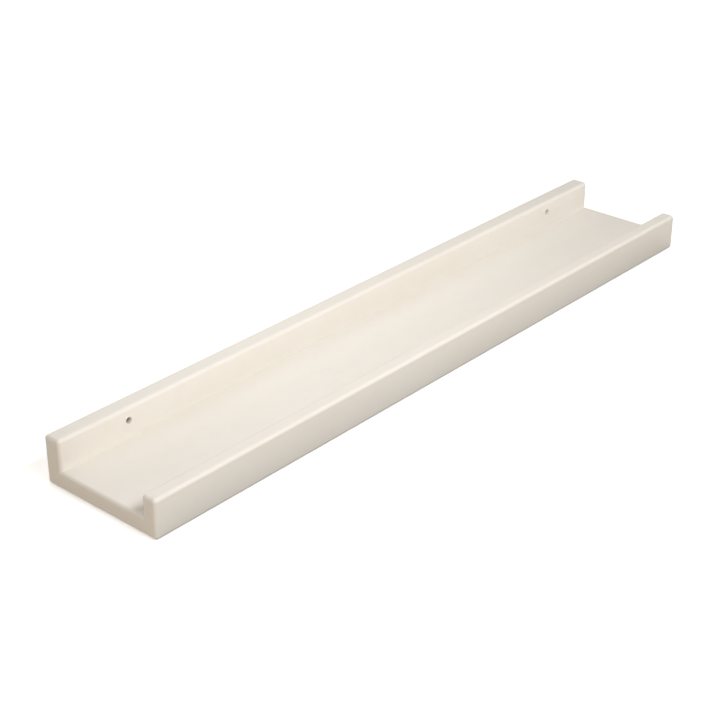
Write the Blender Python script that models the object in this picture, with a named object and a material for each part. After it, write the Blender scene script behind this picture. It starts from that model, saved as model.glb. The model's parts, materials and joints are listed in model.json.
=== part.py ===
# Radiator shelf: a painted wooden ledge that hangs on the wall above a radiator.
# A tall back rail and a lower front lip stand along the two edges of a base board. The boards are
# butted together on glue and fluted dowels, and then rounded over as one, so that the round-overs
# run on across the joints.
# Metres. +X runs along the shelf, +Y points to the wall and +Z is up. The origin is on the
# underside, halfway along the length and the depth.

import math

import bmesh
import bpy
from mathutils import Matrix

# Boards
SHELF_LENGTH = 0.900
SHELF_DEPTH = 0.158
RAIL_HEIGHT = 0.055
RAIL_THICKNESS = 0.022
LIP_HEIGHT = 0.045
LIP_THICKNESS = 0.018
BASE_THICKNESS = 0.020
ARRIS_RADIUS = 0.004

# Glue joints
GLUE_GAP = 0.0003           # between the base board and the board that it butts against
DOWELS_PER_JOINT = 6
DOWEL_INSET = 0.050         # from the shelf's end to the middle of the last dowel
DOWEL_LENGTH = 0.035
DOWEL_DIAMETER = 0.008
DOWEL_CHAMFER = 0.001
DOWEL_FLUTES = 12
FLUTE_DEPTH = 0.0004
BORE_FIT = 0.0003           # round the dowel
BORE_END_ROOM = 0.001       # past each end of the dowel, for glue
BORE_SKIN = 0.005           # wood left between a bore and the face behind it

# Wall fixing
SCREW_HOLE_DIAMETER = 0.0075
SCREW_HOLE_INSET = 0.090    # from the shelf's end to the middle of the hole
SCREW_HOLE_DROP = 0.015     # from the rail's top to the middle of the hole
CUT_OVERRUN = 0.002         # how far a cutter stands out of the face that it opens

# Facets
ARRIS_SEGMENTS = 4
ROUND_PROFILE = 0.5
BORE_SIDES = 24
SCREW_HOLE_SIDES = 40
HARD_EDGE = math.radians(35)
WELD_DISTANCE = 0.00001

# Faces of the boards, from the front to the wall
FRONT_Y = -SHELF_DEPTH / 2
LIP_Y = FRONT_Y + LIP_THICKNESS
WALL_Y = SHELF_DEPTH / 2
RAIL_Y = WALL_Y - RAIL_THICKNESS

# A dowel's middle, behind the skin of wood that its bore leaves
DOWEL_REACH = BORE_SKIN + BORE_END_ROOM + DOWEL_LENGTH / 2
RAIL_DOWEL_Y = WALL_Y - DOWEL_REACH
LIP_DOWEL_Y = FRONT_Y + DOWEL_REACH
DOWEL_Z = BASE_THICKNESS / 2

# Finishes: colours as linear values, and how rough the surface is
CREAM_PAINT = (0.831, 0.791, 0.708)
CREAM_PAINT_ROUGHNESS = 0.42
BARE_BEECH = (0.558, 0.381, 0.220)
BARE_BEECH_ROUGHNESS = 0.70

# Turns a cylinder's or a dowel's own Z axis onto the shelf's Y axis
ALONG_Y = (math.pi / 2, 0.0, 0.0)


def new_collection(name, parent):
    collection = bpy.data.collections.new(name)
    parent.children.link(collection)
    return collection


def plain_material(name, colour, roughness):
    material = bpy.data.materials.new(name)
    material.use_nodes = True
    shader = material.node_tree.nodes["Principled BSDF"]
    shader.inputs["Base Color"].default_value = (*colour, 1.0)
    shader.inputs["Roughness"].default_value = roughness
    shader.inputs["Metallic"].default_value = 0.0
    return material


def mesh_from(bm, name):
    bmesh.ops.recalc_face_normals(bm, faces=bm.faces)
    mesh = bpy.data.meshes.new(name)
    bm.to_mesh(mesh)
    bm.free()
    mesh.shade_smooth()
    mesh.set_sharp_from_angle(angle=HARD_EDGE)
    return mesh


def add_part(name, mesh, material, location, collection, parent):
    part = bpy.data.objects.new(name, mesh)
    mesh.materials.clear()
    mesh.materials.append(material)
    part.location = location
    part.parent = parent
    collection.objects.link(part)
    return part


def square_channel():
    """The three boards glued up, with square arrises, as an extruded outline."""
    outline = (
        (FRONT_Y, 0.0),
        (WALL_Y, 0.0),
        (WALL_Y, RAIL_HEIGHT),
        (RAIL_Y, RAIL_HEIGHT),
        (RAIL_Y, BASE_THICKNESS),
        (LIP_Y, BASE_THICKNESS),
        (LIP_Y, LIP_HEIGHT),
        (FRONT_Y, LIP_HEIGHT),
    )
    curve = bpy.data.curves.new("channel", "CURVE")
    curve.dimensions = "2D"
    curve.fill_mode = "BOTH"
    curve.extrude = SHELF_LENGTH / 2
    spline = curve.splines.new("POLY")
    spline.points.add(len(outline) - 1)
    spline.use_cyclic_u = True
    for point, (y, z) in zip(spline.points, outline):
        point.co = (y, z, 0.0, 1.0)
    extrusion = bpy.data.objects.new("channel", curve)
    bpy.context.scene.collection.objects.link(extrusion)
    evaluated = extrusion.evaluated_get(bpy.context.evaluated_depsgraph_get())
    mesh = bpy.data.meshes.new_from_object(evaluated)
    bpy.data.objects.remove(extrusion)
    # The outline's own axes are the shelf's Y and Z, and its extrusion runs along X
    mesh.transform(Matrix(((0, 0, 1), (1, 0, 0), (0, 1, 0))).to_4x4())
    return mesh


def rounded_channel():
    """The glued-up boards with every outer arris rounded. The two inside corners stay sharp."""
    bm = bmesh.new()
    bm.from_mesh(square_channel())
    bmesh.ops.remove_doubles(bm, verts=bm.verts, dist=WELD_DISTANCE)
    bmesh.ops.dissolve_limit(bm, angle_limit=HARD_EDGE, verts=bm.verts, edges=bm.edges)
    bmesh.ops.recalc_face_normals(bm, faces=bm.faces)
    arrises = [edge for edge in bm.edges if edge.is_convex]
    bmesh.ops.bevel(
        bm, geom=arrises, offset=ARRIS_RADIUS, offset_type="OFFSET", segments=ARRIS_SEGMENTS,
        profile=ROUND_PROFILE, affect="EDGES", clamp_overlap=True)
    return bm


def split_off(bm, y, keep_wall_side):
    """Saws the channel through at y, keeps one side and closes the cut."""
    away = -1.0 if keep_wall_side else 1.0
    bmesh.ops.bisect_plane(
        bm, geom=bm.verts[:] + bm.edges[:] + bm.faces[:], dist=WELD_DISTANCE,
        plane_co=(0.0, y, 0.0), plane_no=(0.0, away, 0.0), clear_outer=True)
    rim = [edge for edge in bm.edges if edge.is_boundary]
    bmesh.ops.contextual_create(bm, geom=rim)


def board_mesh(name, channel, middle, front_cut=None, wall_cut=None):
    bm = channel.copy()
    if front_cut is not None:
        split_off(bm, front_cut, keep_wall_side=True)
    if wall_cut is not None:
        split_off(bm, wall_cut, keep_wall_side=False)
    bmesh.ops.translate(bm, verts=bm.verts, vec=(0.0, -middle, 0.0))
    return mesh_from(bm, name)


def dowel_mesh():
    """A dowel along Z, chamfered at both ends, with straight flutes for the glue."""
    columns = 2 * DOWEL_FLUTES
    radius = DOWEL_DIAMETER / 2
    bm = bmesh.new()
    bmesh.ops.create_cone(
        bm, cap_ends=True, segments=columns, radius1=radius, radius2=radius, depth=DOWEL_LENGTH)
    rims = [edge for edge in bm.edges if abs(edge.verts[0].co.z - edge.verts[1].co.z) < WELD_DISTANCE]
    bmesh.ops.bevel(
        bm, geom=rims, offset=DOWEL_CHAMFER, offset_type="OFFSET", segments=1,
        affect="EDGES")
    for vert in bm.verts:
        across = math.hypot(vert.co.x, vert.co.y)
        column = round(math.atan2(vert.co.y, vert.co.x) / math.tau * columns)
        if column % 2:
            vert.co.xy *= (across - FLUTE_DEPTH) / across
    return mesh_from(bm, "fluted_dowel")


def cylinder_mesh(name, diameter, length, sides):
    bm = bmesh.new()
    bmesh.ops.create_cone(
        bm, cap_ends=True, segments=sides, radius1=diameter / 2, radius2=diameter / 2, depth=length)
    return mesh_from(bm, name)


def add_cutters(name, mesh, spots, parent):
    """A collection of cutters along Y, hidden from the finished shelf."""
    cutters = new_collection(name, parent)
    for number, spot in enumerate(spots, start=1):
        cutter = bpy.data.objects.new(f"{name}_{number}", mesh)
        cutter.location = spot
        cutter.rotation_euler = ALONG_Y
        cutter.hide_render = True
        cutter.display_type = "WIRE"
        cutters.objects.link(cutter)
    return cutters


def drill(board, *cutter_groups):
    """Cuts each group's holes into a board, and marks the hard edges that they leave."""
    for cutters in cutter_groups:
        cut = board.modifiers.new(cutters.name, "BOOLEAN")
        cut.operation = "DIFFERENCE"
        cut.solver = "EXACT"
        cut.operand_type = "COLLECTION"
        cut.collection = cutters
    evaluated = board.evaluated_get(bpy.context.evaluated_depsgraph_get())
    drilled = bpy.data.meshes.new_from_object(evaluated)
    board.modifiers.clear()
    board.data = drilled
    drilled.shade_smooth()
    drilled.set_sharp_from_angle(angle=HARD_EDGE)


def dowel_spots(y):
    """Dowel places along one joint, evenly spaced between the two insets."""
    first = DOWEL_INSET - SHELF_LENGTH / 2
    pitch = (SHELF_LENGTH - 2 * DOWEL_INSET) / (DOWELS_PER_JOINT - 1)
    return [(first + number * pitch, y, DOWEL_Z) for number in range(DOWELS_PER_JOINT)]


def screw_spots():
    reach = SHELF_LENGTH / 2 - SCREW_HOLE_INSET
    y = (RAIL_Y + WALL_Y) / 2
    z = RAIL_HEIGHT - SCREW_HOLE_DROP
    return [(-reach, y, z), (reach, y, z)]


def build_shelf():
    for leftover in list(bpy.data.objects):
        bpy.data.objects.remove(leftover)
    top = bpy.context.scene.collection
    shelf = new_collection("radiator_shelf", top)
    cutters = new_collection("radiator_shelf_cutters", top)
    origin = bpy.data.objects.new("shelf_origin", None)
    shelf.objects.link(origin)
    paint = plain_material("satin_cream_paint", CREAM_PAINT, CREAM_PAINT_ROUGHNESS)
    beech = plain_material("bare_beech", BARE_BEECH, BARE_BEECH_ROUGHNESS)

    # Bores run through each joint into both of its boards, and screw holes right through the rail
    bore = cylinder_mesh(
        "dowel_bore", DOWEL_DIAMETER + 2 * BORE_FIT, DOWEL_LENGTH + 2 * BORE_END_ROOM, BORE_SIDES)
    screw_hole = cylinder_mesh(
        "screw_hole", SCREW_HOLE_DIAMETER, RAIL_THICKNESS + 2 * CUT_OVERRUN, SCREW_HOLE_SIDES)
    rail_bores = add_cutters("rail_bore", bore, dowel_spots(RAIL_DOWEL_Y), cutters)
    lip_bores = add_cutters("lip_bore", bore, dowel_spots(LIP_DOWEL_Y), cutters)
    screw_holes = add_cutters("rail_screw_hole", screw_hole, screw_spots(), cutters)

    channel = rounded_channel()
    rail_middle = (RAIL_Y + WALL_Y) / 2
    base_middle = (LIP_Y + RAIL_Y) / 2
    lip_middle = (FRONT_Y + LIP_Y) / 2
    rail_shape = board_mesh("back_rail", channel, rail_middle, front_cut=RAIL_Y)
    base_shape = board_mesh(
        "base_board", channel, base_middle, front_cut=LIP_Y + GLUE_GAP, wall_cut=RAIL_Y - GLUE_GAP)
    lip_shape = board_mesh("front_lip", channel, lip_middle, wall_cut=LIP_Y)
    channel.free()

    back_rail = add_part("back_rail", rail_shape, paint, (0.0, rail_middle, 0.0), shelf, origin)
    base_board = add_part("base_board", base_shape, paint, (0.0, base_middle, 0.0), shelf, origin)
    front_lip = add_part("front_lip", lip_shape, paint, (0.0, lip_middle, 0.0), shelf, origin)
    drill(back_rail, rail_bores, screw_holes)
    drill(base_board, rail_bores, lip_bores)
    drill(front_lip, lip_bores)

    dowel_shape = dowel_mesh()
    for joint, y in (("rail", RAIL_DOWEL_Y), ("lip", LIP_DOWEL_Y)):
        for number, spot in enumerate(dowel_spots(y), start=1):
            dowel = add_part(f"{joint}_dowel_{number}", dowel_shape, beech, spot, shelf, origin)
            dowel.rotation_euler = ALONG_Y


build_shelf()
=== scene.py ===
# Radiator shelf: a wall ledge of three boards, doweled, glued and sprayed in satin cream paint.
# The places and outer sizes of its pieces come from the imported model. This script adds the finished
# surfaces, a pale studio and the camera. Metres, +X along the shelf, +Y to the wall, +Z up.
import json
import math

import bmesh
import bpy
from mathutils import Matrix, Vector


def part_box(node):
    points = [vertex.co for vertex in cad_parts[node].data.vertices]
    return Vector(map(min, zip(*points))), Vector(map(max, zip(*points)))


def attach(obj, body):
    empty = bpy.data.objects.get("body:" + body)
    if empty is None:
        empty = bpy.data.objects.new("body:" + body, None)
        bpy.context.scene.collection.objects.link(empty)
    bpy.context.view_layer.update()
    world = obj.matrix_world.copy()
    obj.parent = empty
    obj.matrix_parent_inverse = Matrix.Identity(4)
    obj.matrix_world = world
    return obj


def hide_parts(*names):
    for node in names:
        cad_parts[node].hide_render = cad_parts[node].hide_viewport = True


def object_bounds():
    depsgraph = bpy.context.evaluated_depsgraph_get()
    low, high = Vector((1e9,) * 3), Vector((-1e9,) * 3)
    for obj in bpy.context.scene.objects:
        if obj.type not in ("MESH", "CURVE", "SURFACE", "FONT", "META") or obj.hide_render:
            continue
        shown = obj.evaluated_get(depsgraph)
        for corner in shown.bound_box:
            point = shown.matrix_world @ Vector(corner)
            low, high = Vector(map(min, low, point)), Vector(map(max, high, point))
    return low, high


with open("model.json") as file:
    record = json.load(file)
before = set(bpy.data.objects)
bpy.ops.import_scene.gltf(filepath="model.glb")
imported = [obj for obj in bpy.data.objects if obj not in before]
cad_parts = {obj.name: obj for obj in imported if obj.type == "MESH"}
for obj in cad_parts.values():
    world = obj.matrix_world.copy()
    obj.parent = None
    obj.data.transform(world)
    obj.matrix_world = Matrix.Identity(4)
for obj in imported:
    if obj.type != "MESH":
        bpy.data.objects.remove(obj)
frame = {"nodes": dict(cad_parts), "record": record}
cadLow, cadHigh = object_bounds()
print("frame loaded,", len(frame["nodes"]), "nodes")

mm = 0.001
weld = 0.01 * mm    # points closer than this are one point
boardNodes = ("back_rail", "base_board", "front_lip")
dowelNodes = sorted(name for name in frame["nodes"] if "_dowel_" in name)
railLow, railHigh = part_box("back_rail")
lipLow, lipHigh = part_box("front_lip")
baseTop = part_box("base_board")[1].z


def linear(hexColour):    # sRGB hex to the linear colour that a socket takes
    channels = [int(hexColour[i:i + 2], 16) / 255 for i in (1, 3, 5)]
    bent = [c / 12.92 if c <= 0.04045 else ((c + 0.055) / 1.055) ** 2.4 for c in channels]
    return (*bent, 1.0)


def perMetre(size):    # a pattern's scale, from the real size of one of its features
    return 1.0 / size


def addNode(tree, kind, inputs=None, **settings):
    node = tree.nodes.new(kind)
    for name, value in settings.items():
        setattr(node, name, value)
    for socket, value in (inputs or {}).items():
        if isinstance(value, bpy.types.NodeSocket):
            tree.links.new(value, node.inputs[socket])
        else:
            node.inputs[socket].default_value = value
    return node


def newMaterial(name):
    material = bpy.data.materials.new(name)
    material.use_nodes = True
    material.node_tree.nodes.clear()
    return material, material.node_tree


def addMesh(name, bm, *materials):
    mesh = bpy.data.meshes.new(name)
    bm.to_mesh(mesh)
    bm.free()
    for material in materials:
        mesh.materials.append(material)
    item = bpy.data.objects.new(name, mesh)
    bpy.context.scene.collection.objects.link(item)
    return item


def addPiece(name, bm, *materials):    # a closed solid, with its faces turned outwards
    bmesh.ops.recalc_face_normals(bm, faces=bm.faces)
    return addMesh(name, bm, *materials)


# Satin water-based paint in cream, sprayed over a primed and rubbed-down board.
# It gives the eye an even warm white under a broad soft sheen. The tone drifts a little from one
# pass of the gun to the next, and a faint orange peel breaks up the sheen.
# Each range is the stretch of its noise over which the change happens.
satinCream = {
    "fullPass": "#ece7de",
    "thinPass": "#eae4da",
    "passLength": 320 * mm,
    "passWidth": 90 * mm,
    "passDetail": 1.5,
    "passRange": (0.35, 0.65),
    "speck": "#e3dccf",
    "speckSize": 16 * mm,
    "speckDetail": 4,
    "speckGrit": 0.6,
    "speckRange": (0.5, 0.8),
    "speckMost": 0.25,
    "peelSize": 5 * mm,       # really 1 to 2 mm, under a pixel of the render, so drawn coarser
    "peelDetail": 2,
    "peelDepth": 0.012 * mm,
    "sheen": (0.50, 0.60),
    "sheenRange": (0.3, 0.7),
    "ior": 1.5,
}


def makeSatinCreamPaint():
    material, tree = newMaterial("satinCreamPaint")
    place = addNode(tree, "ShaderNodeTexCoord").outputs["Object"]
    stretch = satinCream["passWidth"] / satinCream["passLength"]
    along = addNode(tree, "ShaderNodeMapping", {"Vector": place, "Scale": (stretch, 1, 1)})
    passes = addNode(tree, "ShaderNodeTexNoise", {
        "Vector": along.outputs[0], "Scale": perMetre(satinCream["passWidth"]),
        "Detail": satinCream["passDetail"]})
    specks = addNode(tree, "ShaderNodeTexNoise", {
        "Vector": place, "Scale": perMetre(satinCream["speckSize"]),
        "Detail": satinCream["speckDetail"], "Roughness": satinCream["speckGrit"]})
    peel = addNode(tree, "ShaderNodeTexNoise", {
        "Vector": place, "Scale": perMetre(satinCream["peelSize"]),
        "Detail": satinCream["peelDetail"]})
    thin = addNode(tree, "ShaderNodeMapRange", {
        "Value": passes.outputs["Fac"], "From Min": satinCream["passRange"][0],
        "From Max": satinCream["passRange"][1]})
    speckShare = addNode(tree, "ShaderNodeMapRange", {
        "Value": specks.outputs["Fac"], "From Min": satinCream["speckRange"][0],
        "From Max": satinCream["speckRange"][1], "To Max": satinCream["speckMost"]})
    # on a colour Mix node, sockets 6 and 7 are the two colours and output 2 is the result
    tone = addNode(tree, "ShaderNodeMix", {
        0: thin.outputs[0], 6: linear(satinCream["fullPass"]), 7: linear(satinCream["thinPass"])},
        data_type="RGBA")
    specked = addNode(tree, "ShaderNodeMix", {
        0: speckShare.outputs[0], 6: tone.outputs[2], 7: linear(satinCream["speck"])},
        data_type="RGBA")
    sheen = addNode(tree, "ShaderNodeMapRange", {
        "Value": specks.outputs["Fac"], "From Min": satinCream["sheenRange"][0],
        "From Max": satinCream["sheenRange"][1], "To Min": satinCream["sheen"][0],
        "To Max": satinCream["sheen"][1]})
    bump = addNode(tree, "ShaderNodeBump", {
        "Height": peel.outputs["Fac"], "Distance": satinCream["peelDepth"]})
    paint = addNode(tree, "ShaderNodeBsdfPrincipled", {
        "Base Color": specked.outputs[2], "Roughness": sheen.outputs[0],
        "Normal": bump.outputs[0], "IOR": satinCream["ior"]})
    addNode(tree, "ShaderNodeOutputMaterial", {"Surface": paint.outputs[0]})
    return material


# Medium-density fibreboard as the drill left it: a dry, matt brown felt of fine fibres.
# Paint covers the first few millimetres of each mouth of the hole and thins out from there.
drilledFibre = {
    "fibre": "#b8946c",
    "darkFibre": "#96744f",
    "fibreSize": 1.5 * mm,
    "fibreDetail": 3,
    "fibreDepth": 0.1 * mm,
    "mist": "#efe8de",
    "mistFull": 2.5 * mm,
    "mistReach": 6.5 * mm,
    "roughness": 0.85,
}


def makeDrilledFibreboard():
    material, tree = newMaterial("drilledFibreboard")
    place = addNode(tree, "ShaderNodeTexCoord").outputs["Object"]
    fibres = addNode(tree, "ShaderNodeTexNoise", {
        "Vector": place, "Scale": perMetre(drilledFibre["fibreSize"]),
        "Detail": drilledFibre["fibreDetail"]})
    felt = addNode(tree, "ShaderNodeMix", {
        0: fibres.outputs["Fac"], 6: linear(drilledFibre["fibre"]),
        7: linear(drilledFibre["darkFibre"])}, data_type="RGBA")
    depth = addNode(tree, "ShaderNodeSeparateXYZ", {0: place})
    fromFront = addNode(tree, "ShaderNodeMapRange", {
        "Value": depth.outputs["Y"], "From Min": railLow.y + drilledFibre["mistFull"],
        "From Max": railLow.y + drilledFibre["mistReach"], "To Min": 1.0, "To Max": 0.0})
    fromBack = addNode(tree, "ShaderNodeMapRange", {
        "Value": depth.outputs["Y"], "From Min": railHigh.y - drilledFibre["mistReach"],
        "From Max": railHigh.y - drilledFibre["mistFull"]})
    mist = addNode(tree, "ShaderNodeMath", {
        0: fromFront.outputs[0], 1: fromBack.outputs[0]}, operation="MAXIMUM")
    wall = addNode(tree, "ShaderNodeMix", {
        0: mist.outputs[0], 6: felt.outputs[2], 7: linear(drilledFibre["mist"])},
        data_type="RGBA")
    bump = addNode(tree, "ShaderNodeBump", {
        "Height": fibres.outputs["Fac"], "Distance": drilledFibre["fibreDepth"]})
    shader = addNode(tree, "ShaderNodeBsdfPrincipled", {
        "Base Color": wall.outputs[2], "Roughness": drilledFibre["roughness"],
        "Normal": bump.outputs[0]})
    addNode(tree, "ShaderNodeOutputMaterial", {"Surface": shader.outputs[0]})
    return material


# Bare beech, turned and fluted into dowels and left dry for the glue.
# It gives the eye a pinkish tan with close straight grain and short brown flecks along the dowel.
bareBeech = {
    "earlyWood": "#cdaf8a",
    "lateWood": "#b99570",
    "grainWidth": 0.9 * mm,
    "grainLength": 22.5 * mm,
    "grainDetail": 3,
    "grainDepth": 0.05 * mm,
    "fleck": "#8f6645",
    "fleckWidth": 0.35 * mm,
    "fleckLength": 2.5 * mm,
    "fleckDetail": 1,
    "fleckRange": (0.62, 0.75),
    "roughness": 0.7,
}


def makeBareBeech():
    material, tree = newMaterial("bareTurnedBeech")
    place = addNode(tree, "ShaderNodeTexCoord").outputs["Object"]
    grainStretch = bareBeech["grainWidth"] / bareBeech["grainLength"]
    fleckStretch = bareBeech["fleckWidth"] / bareBeech["fleckLength"]
    grainPlace = addNode(tree, "ShaderNodeMapping", {
        "Vector": place, "Scale": (1, grainStretch, 1)})
    fleckPlace = addNode(tree, "ShaderNodeMapping", {
        "Vector": place, "Scale": (1, fleckStretch, 1)})
    grain = addNode(tree, "ShaderNodeTexNoise", {
        "Vector": grainPlace.outputs[0], "Scale": perMetre(bareBeech["grainWidth"]),
        "Detail": bareBeech["grainDetail"]})
    flecks = addNode(tree, "ShaderNodeTexNoise", {
        "Vector": fleckPlace.outputs[0], "Scale": perMetre(bareBeech["fleckWidth"]),
        "Detail": bareBeech["fleckDetail"]})
    wood = addNode(tree, "ShaderNodeMix", {
        0: grain.outputs["Fac"], 6: linear(bareBeech["earlyWood"]),
        7: linear(bareBeech["lateWood"])}, data_type="RGBA")
    fleckShare = addNode(tree, "ShaderNodeMapRange", {
        "Value": flecks.outputs["Fac"], "From Min": bareBeech["fleckRange"][0],
        "From Max": bareBeech["fleckRange"][1]})
    flecked = addNode(tree, "ShaderNodeMix", {
        0: fleckShare.outputs[0], 6: wood.outputs[2], 7: linear(bareBeech["fleck"])},
        data_type="RGBA")
    bump = addNode(tree, "ShaderNodeBump", {
        "Height": grain.outputs["Fac"], "Distance": bareBeech["grainDepth"]})
    shader = addNode(tree, "ShaderNodeBsdfPrincipled", {
        "Base Color": flecked.outputs[2], "Roughness": bareBeech["roughness"],
        "Normal": bump.outputs[0]})
    addNode(tree, "ShaderNodeOutputMaterial", {"Surface": shader.outputs[0]})
    return material


# The three boards are rounded over as one, after gluing, so they start as one blank.
boards = {
    "arrisRadius": 4 * mm,
    "arrisSteps": 10,
    "sharpAngle": 40,     # degrees, past which an edge stays crisp
    "flatWeight": 100,    # how far the large faces rule the shading at their edges
}


def makeBlank():
    outline = (
        (lipLow.y, 0.0),
        (railHigh.y, 0.0),
        (railHigh.y, railHigh.z),
        (railLow.y, railHigh.z),
        (railLow.y, baseTop),
        (lipHigh.y, baseTop),
        (lipHigh.y, lipHigh.z),
        (lipLow.y, lipHigh.z),
    )
    bm = bmesh.new()
    end = bm.faces.new([bm.verts.new((railLow.x, y, z)) for y, z in outline])
    drawn = bmesh.ops.extrude_face_region(bm, geom=[end])["geom"]
    farEnd = [item for item in drawn if isinstance(item, bmesh.types.BMVert)]
    bmesh.ops.translate(bm, verts=farEnd, vec=(railHigh.x - railLow.x, 0, 0))
    bmesh.ops.recalc_face_normals(bm, faces=bm.faces)
    arrises = [edge for edge in bm.edges if edge.is_convex]
    bmesh.ops.bevel(    # a profile of 0.5 is a true arc
        bm, geom=arrises, offset=boards["arrisRadius"], segments=boards["arrisSteps"], profile=0.5,
        affect="EDGES")
    return bm


def sawOff(bm, y, side):    # keeps what lies on that side of y, and closes the cut with one face
    bmesh.ops.bisect_plane(
        bm, geom=bm.verts[:] + bm.edges[:] + bm.faces[:], dist=weld, plane_co=(0, y, 0),
        plane_no=(0, -side, 0), clear_outer=True)
    flush = [face for face in bm.faces if all(abs(vert.co.y - y) < weld for vert in face.verts)]
    bmesh.ops.delete(bm, geom=flush, context="FACES")
    rim = [edge for edge in bm.edges if edge.is_boundary]
    bmesh.ops.contextual_create(bm, geom=rim)


# Holes for the wall screws and blind bores for the dowels
drilling = {
    "screwHoleDiameter": 7.5 * mm,
    "mouthRound": 0.15 * mm,    # the paint rolls over the edge of the hole
    "mouthSteps": 4,
    "boreFit": 0.3 * mm,
    "boreEndRoom": 1 * mm,
    "sides": 48,
    "overrun": 2 * mm,
}
screwHoles = [o["box_m"] for o in frame["record"]["physics"]["openings"] if "screw" in o["name"]]
screwCentres = [((low[0] + high[0]) / 2, (low[2] + high[2]) / 2) for low, high in screwHoles]


def makeCutter(name, profile, x, z):    # turns a profile of (radius, y) points round a line along Y
    bm = bmesh.new()
    ring = [bm.verts.new((x + radius, y, z)) for radius, y in profile]
    edges = [bm.edges.new(pair) for pair in zip(ring, ring[1:])]
    bmesh.ops.spin(
        bm, geom=ring + edges, cent=(x, 0, z), axis=(0, 1, 0), angle=math.tau,
        steps=drilling["sides"])
    bmesh.ops.remove_doubles(bm, verts=bm.verts, dist=weld)
    return addPiece(name, bm)


def screwHoleProfile():
    radius = drilling["screwHoleDiameter"] / 2
    lip = drilling["mouthRound"]
    steps = drilling["mouthSteps"]
    turns = [step / steps * math.pi / 2 for step in range(steps + 1)]
    front = [(radius + lip - lip * math.sin(a), railLow.y + lip - lip * math.cos(a)) for a in turns]
    back = [(r, railLow.y + railHigh.y - y) for r, y in reversed(front)]
    start = railLow.y - drilling["overrun"]
    stop = railHigh.y + drilling["overrun"]
    return [(0, start), (radius + lip, start), *front, *back, (radius + lip, stop), (0, stop)]


def boreProfile(low, high):
    radius = (high.z - low.z) / 2 + drilling["boreFit"]
    start = low.y - drilling["boreEndRoom"]
    stop = high.y + drilling["boreEndRoom"]
    return [(0, start), (radius, start), (radius, stop), (0, stop)]


def drill(board, cutters):
    for cutter in cutters:
        cut = board.modifiers.new(cutter.name, "BOOLEAN")
        cut.object = cutter
        cut.solver = "EXACT"
    graph = bpy.context.evaluated_depsgraph_get()
    drilled = bpy.data.meshes.new_from_object(board.evaluated_get(graph))
    board.modifiers.clear()
    board.data = drilled


def bareHoleWalls(board):    # gives the walls of the screw holes the board's second material
    reach = drilling["screwHoleDiameter"] / 2 + drilling["mouthRound"] / 4    # short of the painted round
    for face in board.data.polygons:
        for x, z in screwCentres:
            if math.hypot(face.center.x - x, face.center.z - z) < reach:
                face.material_index = 1


def finishBoard(board, node):
    # smooth round-overs, with the flats kept flat by their size
    board.data.shade_smooth()
    board.data.set_sharp_from_angle(angle=math.radians(boards["sharpAngle"]))
    weighted = board.modifiers.new("flatFaces", "WEIGHTED_NORMAL")
    weighted.keep_sharp = True
    weighted.weight = boards["flatWeight"]
    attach(board, "root")
    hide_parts(node)


paint = makeSatinCreamPaint()
fibreboard = makeDrilledFibreboard()
beech = makeBareBeech()
print("materials made")

whole = makeBlank()
rail, base, lip = whole.copy(), whole.copy(), whole.copy()
whole.free()
sawOff(rail, railLow.y, 1)
sawOff(base, railLow.y, -1)
sawOff(base, lipHigh.y, 1)
sawOff(lip, lipHigh.y, -1)
backRail = addPiece("backRail", rail, paint, fibreboard)
baseBoard = addPiece("baseBoard", base, paint)
frontLip = addPiece("frontLip", lip, paint)

screwCutters = []
for number, (x, z) in enumerate(screwCentres):
    screwCutters.append(makeCutter(f"screwHole{number}", screwHoleProfile(), x, z))
boreCutters = {"rail": [], "lip": []}
for name in dowelNodes:
    low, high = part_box(name)
    middle = (low + high) / 2
    cutter = makeCutter(f"bore_{name}", boreProfile(low, high), middle.x, middle.z)
    boreCutters[name.split("_")[0]].append(cutter)
drill(backRail, boreCutters["rail"] + screwCutters)
drill(baseBoard, boreCutters["rail"] + boreCutters["lip"])
drill(frontLip, boreCutters["lip"])
for cutter in screwCutters + boreCutters["rail"] + boreCutters["lip"]:
    bpy.data.objects.remove(cutter)
bareHoleWalls(backRail)

for board, node in zip((backRail, baseBoard, frontLip), boardNodes):
    finishBoard(board, node)
for name in dowelNodes:
    frame["nodes"][name].data.materials.clear()
    frame["nodes"][name].data.materials.append(beech)
print("boards made, dowels in beech")


# A white paper floor that keeps the shelf's soft shadow, in a pale surround
studio = {
    "floorDrop": 0.5 * mm,
    "floorSize": 40.0,
    "floorColour": "#f2f1ee",
    "bounceColour": "#a8a095",    # what the paper throws back onto the shelf
    "glow": (0.50, 1.00),         # lifts the paper to white, less so round the shelf
    "glowReach": (0.45, 0.90),
    "windowInset": 4.5 * mm,      # the paper is cut out under the shelf, and lets light to its underside
    "cardColour": "#26241f",      # a dark card before the lip, out of sight, shades the foot of its front
    "cardDepth": 42 * mm,
    "cardLift": 0.1 * mm,
    "fillColour": "#fff3e6",
    "fill": 0.21,
}


def seenDirectly(tree):    # 1 for rays from the camera, and for what gloss and glass show
    path = addNode(tree, "ShaderNodeLightPath")
    gloss = addNode(tree, "ShaderNodeMath", {
        0: path.outputs["Is Camera Ray"], 1: path.outputs["Is Glossy Ray"]}, operation="ADD")
    either = addNode(tree, "ShaderNodeMath", {
        0: gloss.outputs[0], 1: path.outputs["Is Transmission Ray"]}, operation="ADD",
        use_clamp=True)
    return either.outputs[0]


def oneSided(tree, top):    # isn't there from underneath, so that the shelf's underside can be looked at
    clear = addNode(tree, "ShaderNodeBsdfTransparent")
    facing = addNode(tree, "ShaderNodeNewGeometry")
    surface = addNode(tree, "ShaderNodeMixShader", {
        0: facing.outputs["Backfacing"], 1: top, 2: clear.outputs[0]})
    addNode(tree, "ShaderNodeOutputMaterial", {"Surface": surface.outputs[0]})


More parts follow.
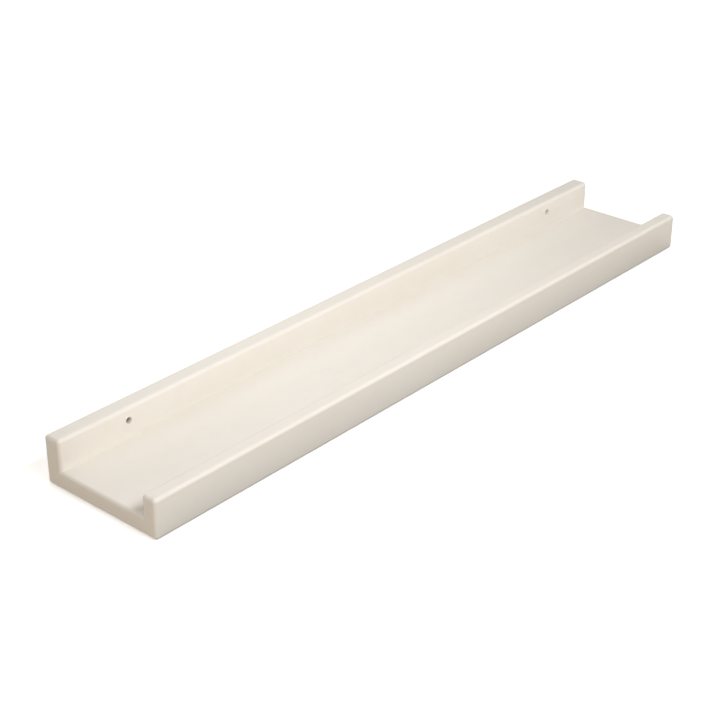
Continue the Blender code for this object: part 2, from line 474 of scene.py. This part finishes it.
def makeStudioPaper():
    material, tree = newMaterial("mattStudioPaper")
    place = addNode(tree, "ShaderNodeTexCoord").outputs["Object"]
    away = addNode(tree, "ShaderNodeVectorMath", {0: place}, operation="LENGTH")
    lift = addNode(tree, "ShaderNodeMapRange", {
        "Value": away.outputs["Value"], "From Min": studio["glowReach"][0],
        "From Max": studio["glowReach"][1], "To Min": studio["glow"][0],
        "To Max": studio["glow"][1]})
    shown = addNode(tree, "ShaderNodeBsdfDiffuse", {"Color": linear(studio["floorColour"])})
    glow = addNode(tree, "ShaderNodeEmission", {"Strength": lift.outputs[0]})
    lit = addNode(tree, "ShaderNodeAddShader", {0: shown.outputs[0], 1: glow.outputs[0]})
    bounce = addNode(tree, "ShaderNodeBsdfDiffuse", {"Color": linear(studio["bounceColour"])})
    sheet = addNode(tree, "ShaderNodeMixShader", {
        0: seenDirectly(tree), 1: bounce.outputs[0], 2: lit.outputs[0]})
    oneSided(tree, sheet.outputs[0])
    return material


def makeDarkCard():
    material, tree = newMaterial("mattDarkCard")
    card = addNode(tree, "ShaderNodeBsdfDiffuse", {"Color": linear(studio["cardColour"])})
    oneSided(tree, card.outputs[0])
    return material


def addSheet(name, bm, material):
    sheet = addMesh(name, bm, material)
    return sheet


def makeFloor():
    z = cadLow.z - studio["floorDrop"]
    half = studio["floorSize"] / 2
    inset = studio["windowInset"]
    across = (-half, cadLow.x + inset, cadHigh.x - inset, half)
    deep = (-half, cadLow.y + inset, cadHigh.y - inset, half)
    bm = bmesh.new()
    rows = [[bm.verts.new((x, y, z)) for x in across] for y in deep]
    for j in range(3):
        for i in range(3):
            if (i, j) != (1, 1):    # the middle is the window
                bm.faces.new((rows[j][i], rows[j][i + 1], rows[j + 1][i + 1], rows[j + 1][i]))
    addSheet("paperFloor", bm, makeStudioPaper())


def makeCard():
    z = cadLow.z - studio["floorDrop"] + studio["cardLift"]
    near = cadLow.y
    far = near - studio["cardDepth"]
    corners = ((cadLow.x, far), (cadHigh.x, far), (cadHigh.x, near), (cadLow.x, near))
    bm = bmesh.new()
    bm.faces.new([bm.verts.new((x, y, z)) for x, y in corners])
    card = addSheet("shadingCard", bm, makeDarkCard())
    card.visible_camera = False
    card.visible_shadow = False


def makeSurround():
    world = bpy.data.worlds.new("paleSurround")
    world.use_nodes = True
    tree = world.node_tree
    tree.nodes.clear()
    fill = addNode(tree, "ShaderNodeBackground", {
        "Color": linear(studio["fillColour"]), "Strength": studio["fill"]})
    white = addNode(tree, "ShaderNodeBackground", {"Color": (1, 1, 1, 1), "Strength": 1.0})
    both = addNode(tree, "ShaderNodeMixShader", {
        0: seenDirectly(tree), 1: fill.outputs[0], 2: white.outputs[0]})
    addNode(tree, "ShaderNodeOutputWorld", {"Surface": both.outputs[0]})
    bpy.context.scene.world = world


# A wide softbox high in front of the shelf, a small one close above it, weak low ones round it,
# and one below that reaches only the underside, through the window in the paper
softboxes = {
    "frontBox": {    # no taller, or the lip would cut off its foot and leave a dark line behind itself
        "place": (-0.05, -0.80, 0.90), "aim": (-0.05, 0.0, 0.02), "size": (1.40, 0.42),
        "colour": "#f8fbff", "power": 12.1},
    "wallBox": {
        "place": (-0.08, 0.25, 0.55), "aim": (-0.08, 0.0, 0.02), "size": (0.70, 0.40),
        "colour": "#ffffff", "power": 1.12},
    "footBox": {
        "place": (0.35, -1.45, 0.07), "aim": (0.10, -0.08, 0.03), "size": (1.80, 0.12),
        "colour": "#fff0dc", "power": 2.15},
    "cornerBox": {
        "place": (-1.30, -1.10, 0.35), "aim": (-0.30, -0.08, 0.03), "size": (0.90, 0.60),
        "colour": "#ffffff", "power": 2.3},
    "leftBox": {
        "place": (-1.50, -0.10, 0.22), "aim": (-0.45, -0.08, 0.03), "size": (0.80, 0.40),
        "colour": "#fff0dc", "power": 2.65},
    "rightBox": {
        "place": (1.50, -0.10, 0.22), "aim": (0.45, -0.08, 0.03), "size": (0.80, 0.40),
        "colour": "#ffffff", "power": 2.7},
    "backBox": {
        "place": (0.0, 1.40, 0.11), "aim": (0.0, 0.08, 0.03), "size": (1.60, 0.20),
        "colour": "#ffffff", "power": 7.5},
    "underBox": {
        "place": (0.0, 0.0, -0.90), "aim": (0.0, 0.0, 0.0), "size": (1.60, 0.80),
        "colour": "#ffffff", "power": 6.0},
}


def makeSoftbox(name, box):
    lamp = bpy.data.lights.new(name, "AREA")
    lamp.shape = "RECTANGLE"
    lamp.size, lamp.size_y = box["size"]
    lamp.energy = box["power"]
    lamp.color = linear(box["colour"])[:3]
    holder = bpy.data.objects.new(name, lamp)
    holder.location = box["place"]
    towards = Vector(box["aim"]) - Vector(box["place"])
    holder.rotation_euler = towards.to_track_quat("-Z", "Y").to_euler()
    holder.visible_camera = False
    bpy.context.scene.collection.objects.link(holder)


# The photograph's view: from the left, in front and above, through a long lens
shot = {
    "place": (-1.2787, -1.0572, 0.8604),
    "turn": 48.755,    # degrees from straight at the wall towards the shelf's right end
    "tilt": 27.807,    # degrees down
    "lens": 81.77,
    "sensor": 36.0,
}


def makeCamera():
    view = bpy.data.cameras.new("photoView")
    view.sensor_width = shot["sensor"]
    view.lens = shot["lens"]
    camera = bpy.data.objects.new("photoView", view)
    camera.location = shot["place"]
    camera.rotation_euler = (math.radians(90 - shot["tilt"]), 0, math.radians(-shot["turn"]))
    bpy.context.scene.collection.objects.link(camera)
    bpy.context.scene.camera = camera


makeFloor()
makeCard()
makeSurround()
for name, box in softboxes.items():
    makeSoftbox(name, box)
makeCamera()
bpy.context.scene.view_settings.view_transform = "Standard"
print("studio and camera set")
